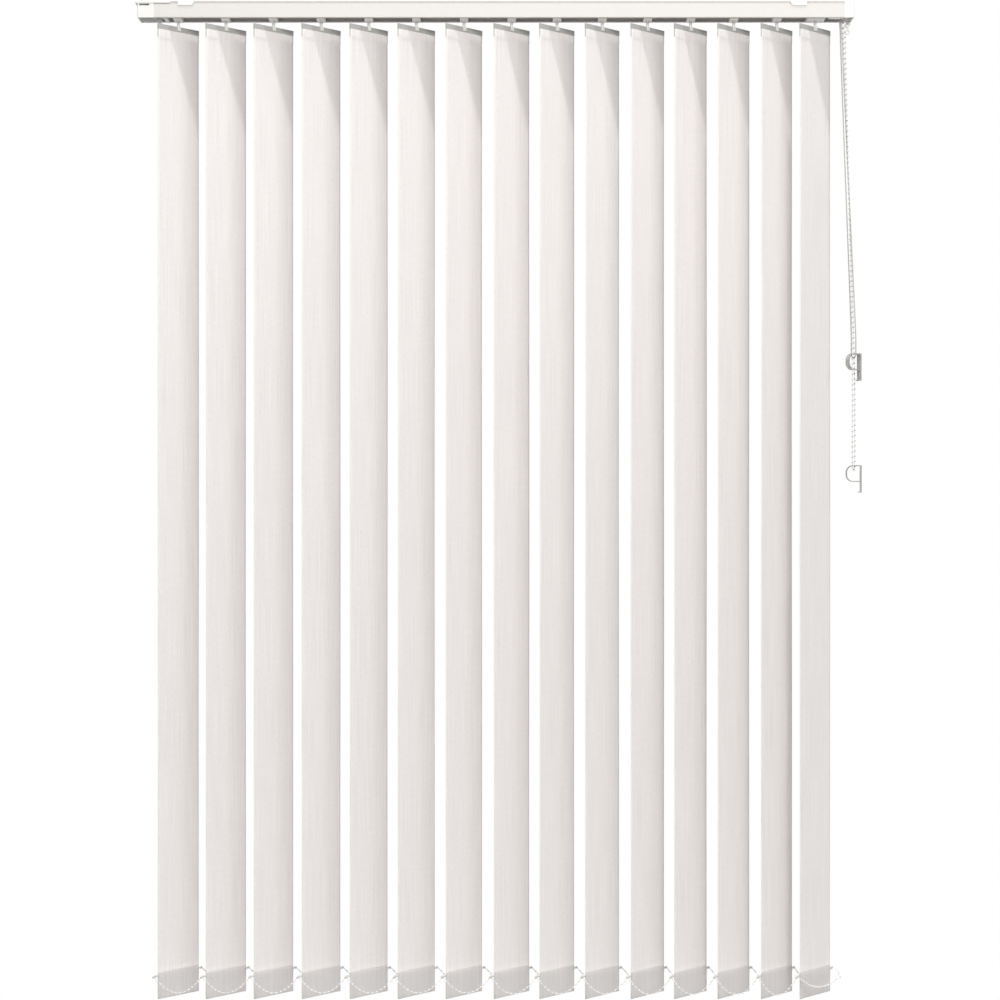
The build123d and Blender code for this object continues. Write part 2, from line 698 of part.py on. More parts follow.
cord_clip_plane = tensioner_plane(CORD_TENSIONER_TOP, CORD_TENSIONER_TURN)
chain_clip_plane = tensioner_plane(CHAIN_TENSIONER_TOP, CHAIN_TENSIONER_TURN)
cord_tensioner = tensioner(cord_clip_plane)
save(cord_tensioner, "cord_tensioner")
chain_tensioner = tensioner(chain_clip_plane)
save(chain_tensioner, "chain_tensioner")


def wrap_radius(radius):
    """How far a strand's middle lies from the middle of the band that it goes round."""
    return hypot(BAND_WIDTH / 2, BAND_THICKNESS / 2) + BAND_CLEARANCE + radius


def bend_radii(points):
    """The radius at each inner point: 0.45 of the shorter run over the tangent of half the turn."""
    radii = []
    for before, here, after in zip(points, points[1:], points[2:]):
        first, second = Vector(here) - Vector(before), Vector(after) - Vector(here)
        half_turn = radians(first.get_angle(second)) / 2
        radii.append(0.45 * min(first.length, second.length) / tan(half_turn))
    return radii


def strand_end(plane, radius, side):
    """Where a strand meets its half circle round the band, on the front (-1) or the back (1)."""
    return plane.origin - plane.y_dir * BAND_THICKNESS / 2 - plane.z_dir * side * wrap_radius(radius)


def check_tube(piece, path, radius, name):
    """Compares a swept tube's volume with its section times its length."""
    section = CORD_SIDES / 2 * radius**2 * sin(2 * pi / CORD_SIDES)
    share = piece.part.volume / (section * path.length)
    print(f"{name}: length {path.length:.1f}, volume {share:.4f} of section times length")


# Traverse cord: both ends at the lead carrier, round the return pulley, out and round its tensioner
def cord_points(side):
    """One strand of the cord, from the pulley down to the tensioner, chosen by hand."""
    end = strand_end(cord_clip_plane, CORD_RADIUS, side)
    return [
        (cord_exit_x, side * CORD_SPREAD, cord_pulley_z),
        (cord_exit_x, side * CORD_SPREAD, -48.0),
        (end.X, end.Y, -556.0),
        tuple(end),
    ]


def chain_points(side):
    """One strand of the tilt chain, from the wheel down to the tensioner, chosen by hand."""
    end = strand_end(chain_clip_plane, CHAIN_RADIUS, side)
    return [
        (wheel_x, side * track_radius, rod_z),
        (wheel_x, side * track_radius, -62.0),
        (end.X, side * 9.2, -572.0),
        tuple(end),
    ]


for name, points in (("cord", cord_points(-1)), ("chain", chain_points(-1))):
    print(f"{name} radii", [round(radius) for radius in bend_radii(points)])

lead_x = pivots[-1]
quarter = CORD_PULLEY_TRACK * sin(pi / 4)
with BuildPart() as traverse_cord:
    with BuildLine() as cord_line:
        front = cord_points(-1)
        back = cord_points(1)
        Line((lead_x + CORD_END_GAP, -CORD_SPREAD, cord_z), (cord_pulley_x, -CORD_SPREAD, cord_z))
        ThreePointArc(
            (cord_pulley_x, -CORD_SPREAD, cord_z),
            (cord_pulley_x + quarter, -CORD_SPREAD, cord_pulley_z + quarter),
            front[0],
        )
        FilletPolyline(*front, radius=bend_radii(front))
        wrap_bottom = cord_clip_plane.origin - cord_clip_plane.y_dir * (
            BAND_THICKNESS / 2 + wrap_radius(CORD_RADIUS)
        )
        ThreePointArc(front[-1], wrap_bottom, back[-1])
        FilletPolyline(*reversed(back), radius=list(reversed(bend_radii(back))))
        ThreePointArc(
            back[0],
            (cord_pulley_x + quarter, CORD_SPREAD, cord_pulley_z + quarter),
            (cord_pulley_x, CORD_SPREAD, cord_z),
        )
        Line((cord_pulley_x, CORD_SPREAD, cord_z), (return_pulley_x, CORD_SPREAD, cord_z))
        ThreePointArc(
            (return_pulley_x, CORD_SPREAD, cord_z),
            (return_pulley_x - CORD_SPREAD, 0, cord_z),
            (return_pulley_x, -CORD_SPREAD, cord_z),
        )
        Line((return_pulley_x, -CORD_SPREAD, cord_z), (lead_x - CORD_END_GAP, -CORD_SPREAD, cord_z))
    cord_path = cord_line.wire()
    with BuildSketch(Plane(origin=cord_path @ 0, z_dir=cord_path % 0)):
        RegularPolygon(CORD_RADIUS, CORD_SIDES)
    sweep(path=cord_path)
check_tube(traverse_cord, cord_path, CORD_RADIUS, "traverse_cord")
save(traverse_cord, "traverse_cord")


def wheel_point(angle):
    """A point of the chain's line over the wheel, that angle from the top towards the front."""
    return (wheel_x, -track_radius * sin(angle), rod_z + track_radius * cos(angle))


# Tilt chain: a loop over the wheel, where its ends meet, and round its tensioner
with BuildPart() as tilt_chain:
    with BuildLine() as chain_line:
        front = chain_points(-1)
        back = chain_points(1)
        ThreePointArc(wheel_point(CHAIN_JOIN), wheel_point(pi / 4), front[0])
        FilletPolyline(*front, radius=bend_radii(front))
        wrap_bottom = chain_clip_plane.origin - chain_clip_plane.y_dir * (
            BAND_THICKNESS / 2 + wrap_radius(CHAIN_RADIUS)
        )
        ThreePointArc(front[-1], wrap_bottom, back[-1])
        FilletPolyline(*reversed(back), radius=list(reversed(bend_radii(back))))
        ThreePointArc(back[0], wheel_point(-pi / 4), wheel_point(-CHAIN_JOIN))
    chain_path = chain_line.wire()
    with BuildSketch(Plane(origin=chain_path @ 0, z_dir=chain_path % 0)):
        RegularPolygon(CHAIN_RADIUS, CORD_SIDES)
    sweep(path=chain_path)
check_tube(tilt_chain, chain_path, CHAIN_RADIUS, "tilt_chain")
save(tilt_chain, "tilt_chain")


def half_arc(chord, length):
    """Half the angle of the arc of that length over that chord, where sin(a) / a is their ratio."""
    low, high = 1e-3, pi
    for _ in range(50):
        middle = (low + high) / 2
        if sin(middle) / middle > chord / length:
            low = middle
        else:
            high = middle
    return low


def bay_outline(chord, length):
    """A hanging bay's side view: two rows of points on arcs a chain's thickness apart."""
    half = half_arc(chord, length)
    radius = length / (2 * half)
    steps = [half * (2 * i / BAY_STEPS - 1) for i in range(BAY_STEPS + 1)]
    rows = []
    for row, order in ((radius - BOTTOM_CHAIN / 2, 1), (radius + BOTTOM_CHAIN / 2, -1)):
        rows += [(row * sin(a), radius * cos(half) - row * cos(a)) for a in steps[::order]]
    return rows


# Bottom chains: one row along the near clips and one along the far clips
for name, side in (("front", -1), ("back", 1)):
    clips = [Vector(pivot, 0, clip_z) + ALONG * side * clip_x for pivot in pivots]
    bays = [(first, last, BAY_LENGTH) for first, last in zip(clips, clips[1:])]
    if side == -1:
        last_start = clips[-1] - ACROSS * (HEM_THICKNESS + BOTTOM_CHAIN + CHAIN_CLEARANCE) / 2
        bays.append((last_start, last_start + ALONG * 2 * clip_x, LAST_BAY_LENGTH))
    with BuildPart() as bottom_chain:
        for first, last, length in bays:
            ahead = (last - first).normalized()
            middle = (first + last) * 0.5
            with BuildSketch(Plane(origin=middle, x_dir=ahead, z_dir=ahead.cross(Vector(0, 0, 1)))):
                with BuildLine():
                    chord = (last - first).length - 2 * BAY_END_GAP
                    Polyline(*bay_outline(chord, length), close=True)
                make_face()
            extrude(amount=BOTTOM_CHAIN / 2, both=True)
    save(bottom_chain, f"bottom_chain_{name}")
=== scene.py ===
"""The looks of a vertical blind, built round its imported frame.

Every piece is a surface worked out with numpy as a function of two parameters, in metres and in the
frame's own axes: +X along the rail to the control end, -Y to the room, +Z up, origin on the ceiling.
"""

import bpy
import numpy as np
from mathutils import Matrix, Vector


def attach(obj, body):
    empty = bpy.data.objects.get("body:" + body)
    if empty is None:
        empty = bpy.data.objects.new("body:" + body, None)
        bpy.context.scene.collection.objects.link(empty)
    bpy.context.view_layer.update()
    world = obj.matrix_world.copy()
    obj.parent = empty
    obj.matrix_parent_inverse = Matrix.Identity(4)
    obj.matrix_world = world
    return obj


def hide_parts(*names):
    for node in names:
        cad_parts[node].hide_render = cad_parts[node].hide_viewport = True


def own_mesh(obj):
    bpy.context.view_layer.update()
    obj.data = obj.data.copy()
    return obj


bl_info = {
    "name": "Vertical blind",
    "version": (1, 0, 0),
    "blender": (4, 5, 0),
    "location": "View3D > Sidebar > Blind",
    "description": "Builds the vanes, weights, chains, cord and finishes of a vertical blind",
    "category": "Add Mesh",
}

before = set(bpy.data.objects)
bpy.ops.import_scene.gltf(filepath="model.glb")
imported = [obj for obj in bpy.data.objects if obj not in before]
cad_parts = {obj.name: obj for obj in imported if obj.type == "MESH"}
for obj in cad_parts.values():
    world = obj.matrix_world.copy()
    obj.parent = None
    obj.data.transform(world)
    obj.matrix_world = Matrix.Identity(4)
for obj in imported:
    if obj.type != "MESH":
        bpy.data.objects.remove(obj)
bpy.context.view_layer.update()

# Places that the frame fixes
PITCHES = [0.0801] * 7 + [0.0762] * 3 + [0.0724] * 3 + [0.0646]
PIVOTS = np.concatenate([[-0.534], -0.534 + np.cumsum(PITCHES)])
VANE_TURN = np.radians(48.0)
ALONG = np.array([np.cos(VANE_TURN), np.sin(VANE_TURN), 0.0])
ACROSS = np.array([-np.sin(VANE_TURN), np.cos(VANE_TURN), 0.0])
UP = np.array([0.0, 0.0, 1.0])
X_AXIS = np.array([1.0, 0.0, 0.0])
FABRIC_TOP = -0.050
FABRIC_BOTTOM = -1.6700
HEM_TOP = -1.6258
CLIP_HEIGHT = -1.6308
CLIP_REACH = 0.0505
KNOB_REACH = 0.0530
RAIL_CORD_HEIGHT = -0.013
CORD_SPREAD = 0.0075
RETURN_PULLEY_X = -0.584
CORD_PULLEY_X = 0.5745
CORD_PULLEY_TRACK = 0.0055
HANGER_CORE = 0.0055

# The vane's skin: points across one face, its rounded rim and the cloth turned into both pockets
FACE_POINTS = 25
RIM_WIDTH = 0.0012
RIM_SHARE = 0.3
POCKET_HEIGHT = 0.015
# Painted shade on the hem: the share its colour is multiplied by, standing in for the light that the weight
# keeps from shining through the cloth
HEM_PAINTED_SHADE = 0.77

# The bottom chains: a bay, the last vane's tail, and the connector and bare thread at a bay's ends
BAY_LENGTH = 0.105
TAIL_LENGTH = 0.119
BACK_FALL = 1.3
CONNECTOR = 0.0115
BEADLESS = 0.022
TAIL_BEND = 0.0118

# How finely curves and patterns are cut: steps of a spline, and the wave's scale for one band a unit
ROUTE_STEPS = 24
BAND_SCALE = 0.314159

# The camera, the floor and the lights
LENS = 84.0
SENSOR = 36.0
CAMERA_PLACE = (0.0071, -3.926, -0.837)
FLOOR_HEIGHT = -2.6
FLOOR_RADII = np.array([0.01, 1.0, 2.0, 2.6])
FLOOR_SIDES = 96
DOME = (-0.5, 0.6, 0.35, 0.46)
KEY_ENERGY = 2.0
KEY_ANGLE = 3.5
FILL_SIZE = (3.4, 0.4)
FILL_ENERGY = 33.0


class VaneSettings(bpy.types.PropertyGroup):
    """Sizes and colour of the fabric vanes."""

    width: bpy.props.FloatProperty(
        name="Vane width",
        description="Width of one strip of fabric",
        default=0.089,
        unit="LENGTH",
    )
    cloth: bpy.props.FloatProperty(
        name="Cloth thickness",
        description="Thickness of one layer of the fabric",
        default=0.0006,
        unit="LENGTH",
    )
    hem: bpy.props.FloatProperty(
        name="Hem thickness",
        description="Thickness of the hem over its weight",
        default=0.0028,
        unit="LENGTH",
    )
    ripple: bpy.props.FloatProperty(
        name="Ripple",
        description="How far the middle of a vane strays from its plane",
        default=0.0005,
        unit="LENGTH",
    )
    colour: bpy.props.FloatVectorProperty(
        name="Fabric colour",
        description="Colour of the woven fabric",
        subtype="COLOR",
        default=(0.885, 0.85, 0.83),
    )


class ChainSettings(bpy.types.PropertyGroup):
    """Sizes and colour of the bottom chains and the tilt chain."""

    bead: bpy.props.FloatProperty(
        name="Bottom chain bead",
        description="Diameter of a bead of the bottom chains",
        default=0.0030,
        unit="LENGTH",
    )
    bead_pitch: bpy.props.FloatProperty(
        name="Bottom chain pitch",
        description="Distance between beads of the bottom chains",
        default=0.0075,
        unit="LENGTH",
    )
    thread: bpy.props.FloatProperty(
        name="Thread",
        description="Diameter of the thread between the beads",
        default=0.0006,
        unit="LENGTH",
    )
    tilt_bead: bpy.props.FloatProperty(
        name="Tilt chain bead",
        description="Diameter of a bead of the tilt chain",
        default=0.0031,
        unit="LENGTH",
    )
    tilt_pitch: bpy.props.FloatProperty(
        name="Tilt chain pitch",
        description="Distance between beads of the tilt chain",
        default=0.0087,
        unit="LENGTH",
    )
    colour: bpy.props.FloatVectorProperty(
        name="Chain colour",
        description="Colour of the plastic beads",
        subtype="COLOR",
        default=(0.93, 0.92, 0.9),
    )


class CordSettings(bpy.types.PropertyGroup):
    """Size and colour of the traverse cord."""

    diameter: bpy.props.FloatProperty(
        name="Cord diameter",
        description="Diameter of the braided cord",
        default=0.002,
        unit="LENGTH",
    )
    colour: bpy.props.FloatVectorProperty(
        name="Cord colour",
        description="Colour of the braided cord",
        subtype="COLOR",
        default=(0.56, 0.545, 0.52),
    )


class FinishSettings(bpy.types.PropertyGroup):
    """Colours of the rail, its plastic parts and the tensioners."""

    rail: bpy.props.FloatVectorProperty(
        name="Rail colour",
        description="Paint of the headrail",
        subtype="COLOR",
        default=(0.73, 0.71, 0.675),
    )
    plastic: bpy.props.FloatVectorProperty(
        name="Plastic colour",
        description="Colour of end caps and carriers",
        subtype="COLOR",
        default=(0.86, 0.845, 0.815),
    )
    tensioner: bpy.props.FloatVectorProperty(
        name="Tensioner colour",
        description="Colour of the cord and chain tensioners",
        subtype="COLOR",
        default=(0.6, 0.59, 0.57),
    )


def link(name, points, faces, uv=None):
    """A mesh object from an array of points and one of faces, with one pair of coordinates a corner."""
    mesh = bpy.data.meshes.new(name)
    mesh.from_pydata(points.tolist(), [], faces.tolist())
    if uv is not None:
        layer = mesh.uv_layers.new(name="UVMap")
        corners = np.empty(len(mesh.loops), dtype=np.int32)
        mesh.loops.foreach_get("vertex_index", corners)
        layer.data.foreach_set("uv", uv[corners].astype(np.float32).ravel())
    mesh.shade_smooth()
    mesh.update()
    piece = bpy.data.objects.new(name, mesh)
    bpy.context.scene.collection.objects.link(piece)
    return piece


def ring_faces(rows, columns):
    """Four-sided faces of a grid whose columns close on themselves."""
    row, column = np.meshgrid(np.arange(rows - 1), np.arange(columns), indexing="ij")
    ahead, beside = row + 1, (column + 1) % columns
    corners = [
        row * columns + column,
        row * columns + beside,
        ahead * columns + beside,
        ahead * columns + column,
    ]
    return np.stack(corners, axis=-1).reshape(-1, 4)


def tube(path, radius, side, count):
    """A round tube, open at both ends: each point of the path plus radius times cosine of the angle
    along the normal and sine along the binormal. The normal is the side vector less its share along
    the tangent."""
    tangent = np.gradient(path, axis=0)
    tangent /= np.linalg.norm(tangent, axis=1)[:, None]
    normal = side - (tangent @ side)[:, None] * tangent
    normal /= np.linalg.norm(normal, axis=1)[:, None]
    binormal = np.cross(tangent, normal)
    angle = np.linspace(0, 2 * np.pi, count, endpoint=False)
    reach = np.broadcast_to(np.asarray(radius, float), (len(path),))[:, None, None]
    cosine, sine = np.cos(angle)[None, :, None], np.sin(angle)[None, :, None]
    spoke = cosine * normal[:, None] + sine * binormal[:, None]
    points = (path[:, None] + reach * spoke).reshape(-1, 3)
    run = np.concatenate([[0.0], np.cumsum(np.linalg.norm(np.diff(path, axis=0), axis=1))])
    uv = np.stack(np.meshgrid(run, angle / (2 * np.pi), indexing="ij"), axis=-1).reshape(-1, 2)
    faces = ring_faces(len(path), count)
    return points, faces, uv


def capped_tube(name, path, radius, side, count):
    """A tube whose radius falls to nothing at both ends, as a mesh object."""
    ends = np.concatenate([path[:1], path, path[-1:]])
    reach = np.broadcast_to(np.asarray(radius, float), (len(path),))
    reach = np.concatenate([[reach[0] * 0.02], reach, [reach[-1] * 0.02]])
    nudge = (path[1] - path[0]) * 0.02
    ends[0] -= nudge
    ends[-1] += nudge
    points, faces, uv = tube(ends, reach, side, count)
    return link(name, points, faces, uv)


def ball(rings, sides):
    """A ball of radius 1: height is the cosine of the polar angle, and the ring's radius its sine."""
    polar = np.linspace(0.04, np.pi - 0.04, rings)
    turn = np.linspace(0, 2 * np.pi, sides, endpoint=False)
    ring = np.sin(polar)[:, None]
    points = np.stack(
        [ring * np.cos(turn), ring * np.sin(turn), np.cos(polar)[:, None] + 0 * turn], axis=-1
    )
    return points.reshape(-1, 3), ring_faces(rings, sides)[:, ::-1]


def copies(points, faces, centres, size):
    """The same shape at every centre, size times as large: one array of points and one of faces."""
    every = centres[:, None] + size * points[None]
    shift = (np.arange(len(centres)) * len(points))[:, None, None]
    return every.reshape(-1, 3), (faces[None] + shift).reshape(-1, 4)


def along_path(path, distances):
    """The points at these distances along a path of many short steps."""
    run = np.concatenate([[0.0], np.cumsum(np.linalg.norm(np.diff(path, axis=0), axis=1))])
    return np.stack([np.interp(distances, run, path[:, axis]) for axis in range(3)], axis=-1), run[-1]


def route(points):
    """The points of a smooth spline of order 3 that has the given route as its control points."""
    line = bpy.data.curves.new("route", "CURVE")
    line.dimensions = "3D"
    line.resolution_u = ROUTE_STEPS
    spline = line.splines.new("NURBS")
    spline.points.add(len(points) - 1)
    spline.points.foreach_set("co", np.column_stack([points, np.ones(len(points))]).ravel())
    spline.order_u = 3
    spline.use_endpoint_u = True
    carrier = bpy.data.objects.new("route", line)
    bpy.context.scene.collection.objects.link(carrier)
    bpy.context.view_layer.update()
    mesh = bpy.data.meshes.new_from_object(carrier.evaluated_get(bpy.context.evaluated_depsgraph_get()))
    path = np.empty(len(mesh.vertices) * 3)
    mesh.vertices.foreach_get("co", path)
    bpy.data.objects.remove(carrier)
    bpy.data.meshes.remove(mesh)
    return path.reshape(-1, 3)


def evenly(path, step):
    """The same path at even steps of about that length."""
    run = np.linalg.norm(np.diff(path, axis=0), axis=1).sum()
    return along_path(path, np.linspace(0, run, max(2, int(run / step))))[0]


class Material:
    """A short way to write a node material round one Principled shader."""

    def __init__(self, name, colour, roughness, **sockets):
        self.material = bpy.data.materials.new(name)
        self.material.use_nodes = True
        self.nodes = self.material.node_tree.nodes
        self.links = self.material.node_tree.links
        self.shader = self.nodes["Principled BSDF"]
        self.shader.inputs["Base Color"].default_value = (*colour, 1)
        self.shader.inputs["Roughness"].default_value = roughness
        for socket, value in sockets.items():
            self.shader.inputs[socket.replace("_", " ")].default_value = value

    def add(self, kind, **values):
        """A node of that kind with its settings and its sockets' values."""
        node = self.nodes.new(kind)
        for key, value in values.items():
            if hasattr(node, key):
                setattr(node, key, value)
            else:
                node.inputs[key.replace("_", " ")].default_value = value
        return node

    def join(self, source, target):
        """Links an output to an input."""
        self.links.new(source, target)

    def place(self, output, scale):
        """Texture coordinates from that output, stretched by scale along each axis."""
        where = self.add("ShaderNodeTexCoord")
        mapping = self.add("ShaderNodeMapping")
        mapping.inputs["Scale"].default_value = scale
        self.join(where.outputs[output], mapping.inputs["Vector"])
        return mapping.outputs["Vector"]

    def noise(self, output, scale, detail=3.0):
        """The factor of a noise pattern."""
        pattern = self.add("ShaderNodeTexNoise")
        pattern.inputs["Scale"].default_value = 1.0
        pattern.inputs["Detail"].default_value = detail
        self.join(self.place(output, scale), pattern.inputs["Vector"])
        return pattern.outputs["Fac"]

    def wave(self, output, scale, direction="X"):
        """The factor of a band pattern with one band a unit along the direction."""
        pattern = self.add("ShaderNodeTexWave", bands_direction=direction)
        pattern.inputs["Scale"].default_value = BAND_SCALE
        self.join(self.place(output, scale), pattern.inputs["Vector"])
        return pattern.outputs["Fac"]

    def ramp(self, factor, low, high, start=0.0, end=1.0):
        """A value from low to high as the factor goes from start to end."""
        span = self.add("ShaderNodeMapRange")
        for socket, value in zip(("From Min", "From Max", "To Min", "To Max"), (start, end, low, high)):
            span.inputs[socket].default_value = value
        self.join(factor, span.inputs["Value"])
        return span.outputs["Result"]

    def tint(self, factor, dark, light):
        """The base colour between two colours."""
        mix = self.add("ShaderNodeMix", data_type="RGBA")
        mix.inputs["A"].default_value = (*dark, 1)
        mix.inputs["B"].default_value = (*light, 1)
        self.join(factor, mix.inputs["Factor"])
        self.join(mix.outputs["Result"], self.shader.inputs["Base Color"])

    def deepen(self, share):
        """The base colour so far, times a value."""
        colour = self.shader.inputs["Base Color"].links[0].from_socket
        mix = self.add("ShaderNodeMix", data_type="RGBA", blend_type="MULTIPLY")
        mix.inputs["Factor"].default_value = 1.0
        self.join(colour, mix.inputs["A"])
        self.join(share, mix.inputs["B"])
        self.join(mix.outputs["Result"], self.shader.inputs["Base Color"])

    def bump(self, height, distance, strength, below=None):
        """A bump of that height, laid over another one if given."""
        node = self.add("ShaderNodeBump")
        node.inputs["Strength"].default_value = strength
        node.inputs["Distance"].default_value = distance
        self.join(height, node.inputs["Height"])
        if below is not None:
            self.join(below, node.inputs["Normal"])
        self.join(node.outputs["Normal"], self.shader.inputs["Normal"])
        return node.outputs["Normal"]

    def rough(self, factor, low, high):
        """A roughness between two values."""
        self.join(self.ramp(factor, low, high), self.shader.inputs["Roughness"])


def shade(colour, share):
    """A colour made lighter or darker by a share."""
    return tuple(min(1.0, channel * share) for channel in colour)


def dress(name, material):
    """Gives a CAD node's object that material in place of its own."""
    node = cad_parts[name]
    node.data.materials.clear()
    node.data.materials.append(material)


def dress_core(name, pivot, plate, core):
    """Gives a hanger's plate one material, and the stem and hook round its pivot another."""
    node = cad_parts[name]
    dress(name, plate)
    node.data.materials.append(core)
    points = np.empty(len(node.data.vertices) * 3)
    node.data.vertices.foreach_get("co", points)
    corners = np.empty(len(node.data.loops), dtype=np.int32)
    node.data.loops.foreach_get("vertex_index", corners)
    starts = np.empty(len(node.data.polygons), dtype=np.int32)
    node.data.polygons.foreach_get("loop_start", starts)
    points = points.reshape(-1, 3) @ np.array(node.matrix_world)[:3, :3].T + node.matrix_world.translation
    away = np.hypot(points[:, 0] - pivot, points[:, 1])[corners]
    furthest = np.maximum.reduceat(away, starts)
    node.data.polygons.foreach_set("material_index", (furthest < HANGER_CORE).astype(np.int32))


class BLIND_OT_finishes(bpy.types.Operator):
    """Gives the rail, its plastic parts, the rod and the tensioners their finishes"""

    bl_idname = "blind.finishes"
    bl_label = "Finishes"

    def execute(self, context):
        colours = context.scene.blind_finishes
        paint = Material("rail_paint", colours.rail, 0.38, Specular_IOR_Level=0.4, Coat_Weight=0.15)
        paint.tint(
            paint.noise("Object", (3, 40, 40)),
            shade(colours.rail, 0.985),
            shade(colours.rail, 1.01),
        )
        paint.rough(paint.noise("Object", (60, 900, 900)), 0.34, 0.44)
        paint.bump(paint.noise("Object", (40, 2500, 2500)), 0.00002, 0.3)
        plate = Material("bracket_paint", colours.plastic, 0.45)
        plate.tint(
            plate.noise("Object", (90, 90, 90)), shade(colours.plastic, 0.97), shade(colours.plastic, 1.03)
        )
        plate.bump(plate.noise("Object", (1500, 1500, 1500)), 0.00004, 0.3)
        moulded = Material("moulded_plastic", colours.plastic, 0.5, Specular_IOR_Level=0.45)
        moulded.tint(
            moulded.noise("Object", (60, 60, 60)),
            shade(colours.plastic, 0.975),
            shade(colours.plastic, 1.02),
        )
        moulded.rough(moulded.noise("Object", (700, 700, 700)), 0.44, 0.58)
        moulded.bump(moulded.noise("Object", (3500, 3500, 3500)), 0.00003, 0.35)
        # Hanger plate: partly its own grey plastic, partly painted shade for the rail's shadow over it, so
        # about half as light as the other plastic
        bracket = Material("hanger_plastic_and_painted_shade", shade(colours.plastic, 0.55), 0.42)
        bracket.tint(
            bracket.noise("Object", (120, 120, 120)),
            shade(colours.plastic, 0.51),
            shade(colours.plastic, 0.59),
        )
        bracket.bump(bracket.noise("Object", (3000, 3000, 3000)), 0.00003, 0.3)
        metal = Material("rod_aluminium", (0.62, 0.62, 0.63), 0.32, Metallic=1.0)
        metal.rough(metal.noise("Object", (20, 3000, 3000)), 0.26, 0.42)
        metal.bump(metal.noise("Object", (10, 5000, 5000)), 0.00001, 0.4)
        clear = Material("tensioner_plastic", colours.tensioner, 0.22, Transmission_Weight=0.35, IOR=1.49)
        clear.tint(
            clear.noise("Object", (150, 150, 150)),
            shade(colours.tensioner, 0.93),
            shade(colours.tensioner, 1.06),
        )
        clear.rough(clear.noise("Object", (500, 500, 500)), 0.16, 0.3)
        dress("headrail", paint.material)
        dress("ceiling_brackets", plate.material)
        for name in ("return_housing", "control_housing", "return_pulley", "chain_wheel"):
            dress(name, moulded.material)
        for row in ("front", "back"):
            dress(f"cord_pulley_{row}", moulded.material)
        dress("tilt_rod", metal.material)
        for name in ("cord_tensioner", "chain_tensioner"):
            dress(name, clear.material)
        for number in range(1, len(PIVOTS) + 1):
            dress(f"carrier_{number:02d}", moulded.material)
            dress_core(f"hanger_{number:02d}", PIVOTS[number - 1], bracket.material, moulded.material)
        return {"FINISHED"}


def fabric_material(settings):
    """Woven cloth: long slubs down the warp, a fine warp and weft in the bump, and a hem darkened by
    painted shade.
    """
    cloth = Material(
        "vane_fabric", settings.colour, 0.85, Specular_IOR_Level=0.2, Sheen_Weight=0.25, Sheen_Roughness=0.5
    )
    slubs = cloth.noise("UV", (420, 7, 1), detail=4.0)
    flecks = cloth.noise("UV", (1300, 160, 1), detail=2.0)
    both = cloth.add("ShaderNodeMath", operation="ADD")
    cloth.join(slubs, both.inputs[0])
    cloth.join(flecks, both.inputs[1])
    dark, light = shade(settings.colour, 0.93), shade(settings.colour, 1.05)
    cloth.tint(cloth.ramp(both.outputs["Value"], 0.0, 1.0, 0.75, 1.25), dark, light)
    height = cloth.add("ShaderNodeSeparateXYZ")
    cloth.join(cloth.place("UV", (1, 1, 1)), height.inputs["Vector"])
    # Painted shade: below the hem's top the cloth colour is multiplied down, for the light that the weight
    # inside keeps from shining through
    cloth.deepen(cloth.ramp(height.outputs["Y"], HEM_PAINTED_SHADE, 1.0, HEM_TOP - 0.0008, HEM_TOP + 0.0004))
    warp = cloth.bump(cloth.wave("UV", (1800, 1800, 1), "X"), 0.00006, 0.5)
    weft = cloth.bump(cloth.wave("UV", (1500, 1500, 1), "Y"), 0.00005, 0.4, below=warp)
    cloth.bump(slubs, 0.00012, 0.5, below=weft)
    return cloth.material


